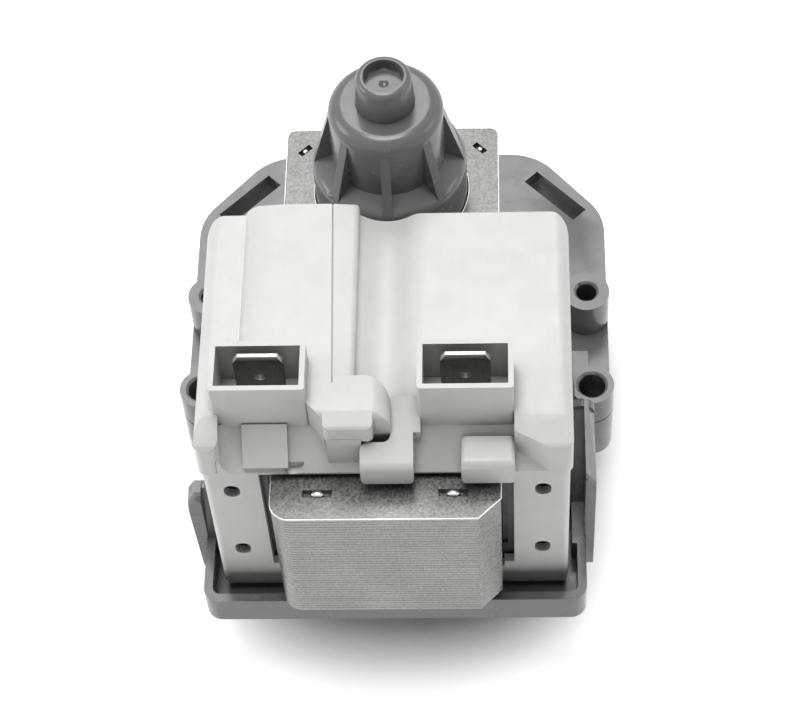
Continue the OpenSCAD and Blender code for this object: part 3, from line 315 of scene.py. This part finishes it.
def laminated_steel(name):
    """Electrical steel: joints between plates that fade in patches, a coarse grain on top, and
    painted shade in its own marks and slots.
    """
    n = Nodes(name)
    level = n.axis(n.place, "Z")
    first_plate, second_plate = CORE_BOTTOM * MM, (CORE_BOTTOM + PLATE_PITCH) * MM
    height = n.span(level, low=0.0, high=1.0, start=first_plate, stop=second_plate, clamp=False)
    within = n.math("FRACT", height)
    own = n.tree.nodes.new("ShaderNodeTexWhiteNoise")
    own.noise_dimensions = "1D"
    n.link(n.math("FLOOR", height), own.inputs["W"])
    grain = n.noise(2600, roughness=0.75)
    patches = n.noise(130)
    fading = n.stretched_noise((170, 170, 110))
    burr_marks = n.stretched_noise((2400, 2400, 1500), roughness=0.7)
    edge = n.greys(within, [(0.0, 0.62), (0.1, 0.7), (0.3, 1.0), (0.75, 1.0), (0.95, 0.78)])
    faded = n.span(fading, low=0.0, high=0.75, start=0.42, stop=0.62)
    edge = n.blend("MIX", faded, edge, (0.9, 0.9, 0.9))
    edge = n.times(edge, n.greys(own.outputs["Value"], [(0.0, 0.9), (1.0, 1.0)]))
    edge = n.times(edge, n.greys(burr_marks, [(0.3, 0.64), (0.65, 0.92)]))
    face = n.greys(grain, [(0.34, 0.19), (0.5, 0.29), (0.66, 0.43)])
    flat = n.greys(n.normal("Z"), [(0.5, 0.0), (0.8, 1.0)])
    tone = n.ramp(patches, [(0.3, (0.385, 0.38, 0.357)), (0.7, (0.445, 0.44, 0.414))])
    tone = n.times(tone, n.blend("MIX", flat, edge, face))
    # painted shade: the colour darkens in the core's own marks, slots and corners
    n.colour(n.times(tone, n.painted_crevice_shade(reach=0.9, dark=0.35)))
    n.roughness(n.span(grain, low=0.24, high=0.34, start=0.35, stop=0.65))
    joints = n.greys(within, [(0.0, 0.0), (0.25, 1.0), (0.75, 1.0), (1.0, 0.0)])
    n.bump([(joints, 0.35, 0.08), (burr_marks, 0.2, 0.03), (grain, 0.3, 0.03)])
    n.set(Metallic=0.75)
    return n.material


def metal(name, light, shade, rough, scale=900):
    """Plated or ground metal with fine scratches and dull patches."""
    n = Nodes(name)
    patches = n.noise(scale * 0.4)
    scratches = n.stretched_noise((scale * 6, scale * 0.5, scale * 0.5))
    tone = n.ramp(patches, [(0.3, shade), (0.7, light)])
    n.colour(n.times(tone, n.greys(scratches, [(0.35, 0.7), (0.6, 1.0)]), amount=0.35))
    n.roughness(n.span(patches, low=rough, high=rough + 0.14, start=0.3, stop=0.7))
    n.bump([(scratches, 0.12, 0.01)])
    n.set(Metallic=1.0)
    return n.material


def tinned_tab(name):
    """Tinned brass tab: painted highlight on the faces that look up, at the end and corners, and
    painted shade on the dull upright faces, with drawing marks.
    """
    n = Nodes(name)
    marks = n.stretched_noise((5200, 700, 420))
    cloud = n.noise(520)
    # painted shade: the upright faces of the tab are painted dark
    face = n.ramp(cloud, [(0.3, (0.085, 0.083, 0.077)), (0.7, (0.13, 0.127, 0.118))])
    # painted highlight: faces that look up, at the end, corners and hole edges, are painted bright
    painted_top_highlight = n.greys(n.normal("Z"), [(0.08, 0.0), (0.2, 0.4), (0.4, 1.0)])
    tone = n.blend("MIX", painted_top_highlight, face, (0.62, 0.615, 0.595))
    n.colour(n.times(tone, n.greys(marks, [(0.3, 0.75), (0.65, 1.0)])))
    n.roughness(n.span(cloud, low=0.3, high=0.42, start=0.3, stop=0.7))
    n.bump([(marks, 0.12, 0.01)])
    n.set(Metallic=0.6)
    return n.material


def wound_wire(name):
    """Enamelled wire laid in close turns round a bobbin."""
    n = Nodes(name)
    wave = n.tree.nodes.new("ShaderNodeTexWave")
    wave.wave_type = "BANDS"
    wave.bands_direction = "Y"
    wave.inputs["Scale"].default_value = 640
    wave.inputs["Distortion"].default_value = 1.2
    wave.inputs["Detail"].default_value = 1
    n.link(n.place, wave.inputs["Vector"])
    turns = wave.outputs["Fac"]
    enamel = [(0.1, (0.2, 0.07, 0.025)), (0.6, (0.55, 0.24, 0.09)), (0.95, (0.72, 0.36, 0.16))]
    n.colour(n.ramp(turns, enamel))
    n.roughness(n.span(turns, low=0.42, high=0.25))
    n.bump([(turns, 0.8, 0.12)])
    n.set(Metallic=0.75)
    return n.material


def rubber(name, light, shade):
    """Soft rubber or wire sleeve with a matt, faintly dusty skin."""
    n = Nodes(name)
    cloud = n.noise(260, detail=4)
    fine = n.noise(4200, detail=2, roughness=0.7)
    n.colour(n.ramp(cloud, [(0.3, shade), (0.7, light)]))
    n.roughness(n.span(fine, low=0.55, high=0.75, start=0.3, stop=0.7))
    n.bump([(fine, 0.35, 0.02)])
    n.set(Specular_IOR_Level=0.35)
    return n.material


# each material's corner level is how dark the painted shade in its own corners goes
materials = {
    "white_plastic": moulded("white_plastic", (0.738, 0.75, 0.711), (0.706, 0.718, 0.68),
                             rough=0.42, corner_shade=0.35),
    "grey_plastic": moulded("grey_plastic", (0.164, 0.166, 0.166), (0.143, 0.145, 0.145),
                            rough=0.21, corner_shade=0.55, mottle=0.4),
    "cream_plastic": moulded("cream_plastic", (0.8, 0.77, 0.66), (0.74, 0.7, 0.58), rough=0.45),
    "dark_plastic": moulded("dark_plastic", (0.075, 0.075, 0.08), (0.05, 0.05, 0.055), rough=0.42),
    "impeller_plastic": moulded("impeller_plastic", (0.105, 0.115, 0.125), (0.08, 0.088, 0.096),
                                rough=0.36),
    "carbon": moulded("carbon", (0.085, 0.085, 0.085), (0.055, 0.055, 0.055), rough=0.55, grain=0.6),
    "core_steel": laminated_steel("core_steel"),
    "tinned_brass": tinned_tab("tinned_brass"),
    "bright_steel": metal("bright_steel", (0.7, 0.7, 0.71), (0.6, 0.6, 0.61), rough=0.22),
    "ferrite": metal("ferrite", (0.12, 0.12, 0.125), (0.08, 0.08, 0.085), rough=0.5, scale=500),
    "copper_wire": wound_wire("copper_wire"),
    "black_rubber": rubber("black_rubber", (0.04, 0.04, 0.042), (0.025, 0.025, 0.027)),
    "red_lead": rubber("red_lead", (0.6, 0.07, 0.05), (0.5, 0.05, 0.035)),
    "blue_lead": rubber("blue_lead", (0.06, 0.14, 0.48), (0.04, 0.1, 0.4)),
}
slots = {entry["node"]: entry["material_slot"] for entry in frame["record"]["subparts"]}
for node, item in nodes.items():
    item.data.materials.clear()
    item.data.materials.append(materials[slots[node]])


# Helpers for pieces

def plain_form(node):
    """A node's mesh for editing, with shared corners and whole flat faces."""
    work = bmesh.new()
    work.from_mesh(nodes[node].data)
    bmesh.ops.remove_doubles(work, verts=work.verts, dist=SAME_POINT)
    bmesh.ops.dissolve_limit(work, angle_limit=SAME_FACE_ANGLE, verts=work.verts, edges=work.edges)
    return work


def applied(piece):
    """Turns a piece's modifiers or curve into plain mesh."""
    bpy.context.view_layer.update()
    graph = bpy.context.evaluated_depsgraph_get()
    mesh = bpy.data.meshes.new_from_object(piece.evaluated_get(graph))
    piece.modifiers.clear()
    return mesh


def dressed(piece, slot, body):
    """Gives a piece its material and the body that it rides on."""
    piece.data.materials.clear()
    piece.data.materials.append(materials[slot])
    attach(piece, body)


# Moulded pieces and tabs: the solids' own form with eased edges

def edges_inside(work, low, high):
    """Edges with both ends in a box, given by two corners in millimetres."""
    return [edge for edge in work.edges
            if all(low[axis] * MM <= vert.co[axis] <= high[axis] * MM
                   for vert in edge.verts for axis in range(3))]


def eased(node, width, rounds):
    """A copy of a node's mesh with its sharp edges rounded, riding in the node's place.

    Edges inside a box of rounds are rounded first, by the radius that comes with it.
    """
    work = plain_form(node)
    for low, high, radius in rounds:
        bmesh.ops.bevel(work, geom=edges_inside(work, low, high), offset=radius * MM,
                        segments=GUIDE_SEGMENTS, affect="EDGES", profile=0.5, clamp_overlap=True)
    mesh = bpy.data.meshes.new(node + "_moulded")
    work.to_mesh(mesh)
    work.free()
    piece = bpy.data.objects.new(node + "_moulded", mesh)
    scene.collection.objects.link(piece)
    bevel = piece.modifiers.new("eased_edges", "BEVEL")
    bevel.width = width * MM
    bevel.segments = EASED_SEGMENTS
    bevel.limit_method = "ANGLE"
    bevel.angle_limit = EASED_ANGLE
    bevel.use_clamp_overlap = True
    piece.data = applied(piece)
    for face in piece.data.polygons:
        face.use_smooth = True
    piece.data.set_sharp_from_angle(angle=SHARP_ANGLE)
    flatten = piece.modifiers.new("flat_faces", "WEIGHTED_NORMAL")
    flatten.keep_sharp = True
    flatten.weight = 100
    piece.data = applied(piece)
    dressed(piece, slots[node], nodes[node]["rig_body"])
    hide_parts(node)


for node, width, rounds in EASED_EDGES:
    eased(node, width, rounds)


# Rolled burr round the top plate of the core: a rounded bead that catches the lamps, in steel
# brighter than the core, so its brightness is partly a painted highlight along the top edge

def both_sides(mark):
    """The left and right place of a mark, in metres."""
    x, y = mark
    return [(-x * MM, y * MM), (x * MM, y * MM)]


def top_edges(node, height, marks):
    """Edges between a node's top face and its sides, apart from those near the punched marks."""
    work = plain_form(node)
    found = []
    for edge in work.edges:
        ends = [vert.co.copy() for vert in edge.verts]
        if len(edge.link_faces) != 2 or any(abs(end.z - height) > SAME_LEVEL for end in ends):
            continue
        tilt = sorted(abs(face.normal.z) for face in edge.link_faces)
        middle = (ends[0] + ends[1]) / 2
        near = any(math.dist(middle[:2], mark) < BURR_FREE_REACH * MM for mark in marks)
        if tilt[0] < UPRIGHT_FACE and tilt[1] > LEVEL_FACE and not near:
            found.append(ends)
    work.free()
    return found


def closed_rows(lines):
    """Joins edges end to end into closed rows of points."""
    links = {}
    for ends in lines:
        first, second = (tuple(round(value, 7) for value in end) for end in ends)
        links.setdefault(first, []).append(second)
        links.setdefault(second, []).append(first)
    rows = []
    while links:
        point, row = min(links), []
        while point is not None:
            row.append(point)
            ahead = [other for other in links.pop(point) if other in links]
            point = ahead[0] if ahead else None
        rows.append(row)
    return rows


def burr(name, rows, slot, body):
    """Thin rounded bead laid along closed rows of points."""
    curve = bpy.data.curves.new(name, "CURVE")
    curve.dimensions = "3D"
    curve.bevel_depth = BURR_RADIUS * MM
    curve.bevel_resolution = 2
    for row in rows:
        spline = curve.splines.new("POLY")
        spline.use_cyclic_u = True
        spline.points.add(len(row) - 1)
        for point, place in zip(spline.points, row):
            point.co = (*place, 1)
    path = bpy.data.objects.new(name + "_path", curve)
    scene.collection.objects.link(path)
    piece = bpy.data.objects.new(name, applied(path))
    bpy.data.objects.remove(path)
    scene.collection.objects.link(piece)
    for face in piece.data.polygons:
        face.use_smooth = True
    dressed(piece, slot, body)


yoke_marks = both_sides(YOKE_MARK)
arm_marks = both_sides(ARM_MARK)
core_body = nodes["core_laminations"]["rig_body"]
rim = top_edges("core_laminations", CORE_TOP * MM, yoke_marks + arm_marks)
# bright steel on the bead is partly a painted highlight along the core's top edge
burr("core_top_burr_highlight", closed_rows(rim), "bright_steel", core_body)


# Pressed domes in the marks of the core's top plate: real domes in steel brighter than the core, so
# their glint is partly a painted highlight

def dome(name, mark, depth, half, slot, body):
    """Low oval dome in rings from the rim up, starting at a depth below the core's top."""
    centre = (*mark, (CORE_TOP - depth) * MM)
    work = bmesh.new()
    rows = []
    for ring in range(DOME_RINGS):
        lift = math.radians(90 * ring / DOME_RINGS)
        row = []
        for step in range(DOME_STEPS):
            turn = 2 * math.pi * step / DOME_STEPS
            row.append(work.verts.new((
                centre[0] + half[0] * MM * math.cos(lift) * math.cos(turn),
                centre[1] + half[1] * MM * math.cos(lift) * math.sin(turn),
                centre[2] + half[2] * MM * math.sin(lift))))
        rows.append(row)
    top = work.verts.new((centre[0], centre[1], centre[2] + half[2] * MM))
    for step in range(DOME_STEPS):
        after = (step + 1) % DOME_STEPS
        for low, high in zip(rows, rows[1:]):
            work.faces.new((low[step], low[after], high[after], high[step]))
        work.faces.new((rows[-1][step], rows[-1][after], top))
    base = work.faces.new(list(reversed(rows[0])))
    for face in work.faces:
        face.smooth = face is not base
    mesh = bpy.data.meshes.new(name)
    work.to_mesh(mesh)
    work.free()
    piece = bpy.data.objects.new(name, mesh)
    scene.collection.objects.link(piece)
    dressed(piece, slot, body)


# bright steel on the domes is partly a painted highlight in the dark marks
for side, yoke, arm in zip(("left", "right"), yoke_marks, arm_marks):
    dome("yoke_glint_dome_" + side, yoke, YOKE_DOME_DEPTH, YOKE_DOME, "bright_steel", core_body)
    dome("arm_glint_dome_" + side, arm, ARM_DOME_DEPTH, ARM_DOME, "bright_steel", core_body)


# Stage

def shown(tree):
    """Factor for rays that show the background: the camera's own, and those of gloss and glass."""
    path = tree.nodes.new("ShaderNodeLightPath")
    total = path.outputs["Is Camera Ray"]
    for name in ("Is Glossy Ray", "Is Transmission Ray"):
        both = tree.nodes.new("ShaderNodeMath")
        both.operation = "MAXIMUM"
        tree.links.new(total, both.inputs[0])
        tree.links.new(path.outputs[name], both.inputs[1])
        total = both.outputs["Value"]
    return total


def floor_material():
    """White paper that keeps the part's soft shadow, adds a painted shadow where its glow fades near
    the part, throws light up, and is clear from below.
    """
    n = Nodes("floor")
    visible = shown(n.tree)
    paper = n.ramp(n.noise(30, detail=2), [(0.3, (0.48, 0.48, 0.48)), (0.7, (0.5, 0.5, 0.5))])
    n.colour(n.blend("MIX", visible, (0.85, 0.85, 0.85), paper))
    n.set(Roughness=0.8, Specular_IOR_Level=0.1)
    # painted shadow: the glow that camera and gloss rays see fades where the part is near
    open_share = n.occlusion(PAINTED_SHADOW_REACH, samples=32, only_local=False)
    painted_shadow_glow = n.span(open_share, low=0.0, high=0.9, start=0.42, stop=0.72)
    thrown = n.span(visible, low=0.42, high=0.0)
    glow = n.tree.nodes.new("ShaderNodeEmission")
    n.link(n.math("ADD", n.math("MULTIPLY", visible, painted_shadow_glow), thrown), glow.inputs["Strength"])
    lit = n.tree.nodes.new("ShaderNodeAddShader")
    n.link(n.shader.outputs["BSDF"], lit.inputs[0])
    n.link(glow.outputs["Emission"], lit.inputs[1])
    path = n.tree.nodes.new("ShaderNodeLightPath")
    geometry = n.tree.nodes.new("ShaderNodeNewGeometry")
    below = n.math("MULTIPLY", geometry.outputs["Backfacing"], path.outputs["Is Camera Ray"])
    clear = n.tree.nodes.new("ShaderNodeBsdfTransparent")
    sides = n.tree.nodes.new("ShaderNodeMixShader")
    n.link(below, sides.inputs["Fac"])
    n.link(lit.outputs["Shader"], sides.inputs[1])
    n.link(clear.outputs["BSDF"], sides.inputs[2])
    n.link(sides.outputs["Shader"], n.output.inputs["Surface"])
    return n.material


def floor():
    """Plain floor just under the part."""
    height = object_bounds()[0][2] - FLOOR_GAP
    corners = [(x * FLOOR_HALF, y * FLOOR_HALF, height)
               for x, y in ((-1, -1), (1, -1), (1, 1), (-1, 1))]
    mesh = bpy.data.meshes.new("floor")
    mesh.from_pydata(corners, [], [(0, 1, 2, 3)])
    item = bpy.data.objects.new("floor", mesh)
    scene.collection.objects.link(item)
    mesh.materials.append(floor_material())
    item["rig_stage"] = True


def sky():
    """White background, and a weak even light on the part."""
    world = bpy.data.worlds.new("studio")
    scene.world = world
    world.use_nodes = True
    tree = world.node_tree
    tree.nodes.clear()
    output = tree.nodes.new("ShaderNodeOutputWorld")
    background = tree.nodes.new("ShaderNodeBackground")
    background.inputs["Color"].default_value = (1, 1, 1, 1)
    level = tree.nodes.new("ShaderNodeMapRange")
    level.inputs["To Min"].default_value = SKY_LIGHT
    level.inputs["To Max"].default_value = SKY_SHOWN
    tree.links.new(shown(tree), level.inputs["Value"])
    tree.links.new(level.outputs["Result"], background.inputs["Strength"])
    tree.links.new(background.outputs["Background"], output.inputs["Surface"])


def lamp(name, place, watts):
    """Round soft lamp that points at the part."""
    data = bpy.data.lights.new(name, "AREA")
    data.shape = "DISK"
    data.size = LAMP_SIZE
    data.energy = watts
    item = bpy.data.objects.new(name, data)
    item.location = place
    towards = Vector(LAMP_AIM) - Vector(place)
    item.rotation_euler = towards.to_track_quat("-Z", "Y").to_euler()
    scene.collection.objects.link(item)


def photo_camera():
    """Camera with the photograph's place, direction and lens."""
    up = (UPWARD - FORWARD * UPWARD.dot(FORWARD)).normalized()
    right = FORWARD.cross(up)
    data = bpy.data.cameras.new("camera")
    data.sensor_width = SENSOR
    data.sensor_fit = "HORIZONTAL"
    data.lens = LENS
    data.clip_start = NEAREST
    camera = bpy.data.objects.new("camera", data)
    camera.matrix_world = Matrix((
        (right.x, up.x, -FORWARD.x, EYE.x),
        (right.y, up.y, -FORWARD.y, EYE.y),
        (right.z, up.z, -FORWARD.z, EYE.z),
        (0, 0, 0, 1)))
    scene.collection.objects.link(camera)
    scene.camera = camera


floor()
sky()
lamp("top_key", (-0.03, 0.05, 1.02), 5.7)
lamp("back_key", (-0.06, 0.52, 0.87), 3.0)
lamp("left_strip", (-0.92, -0.02, 0.4), 2.6)
lamp("right_strip", (0.93, -0.02, 0.38), 1.1)
photo_camera()
scene.view_settings.view_transform = "Standard"
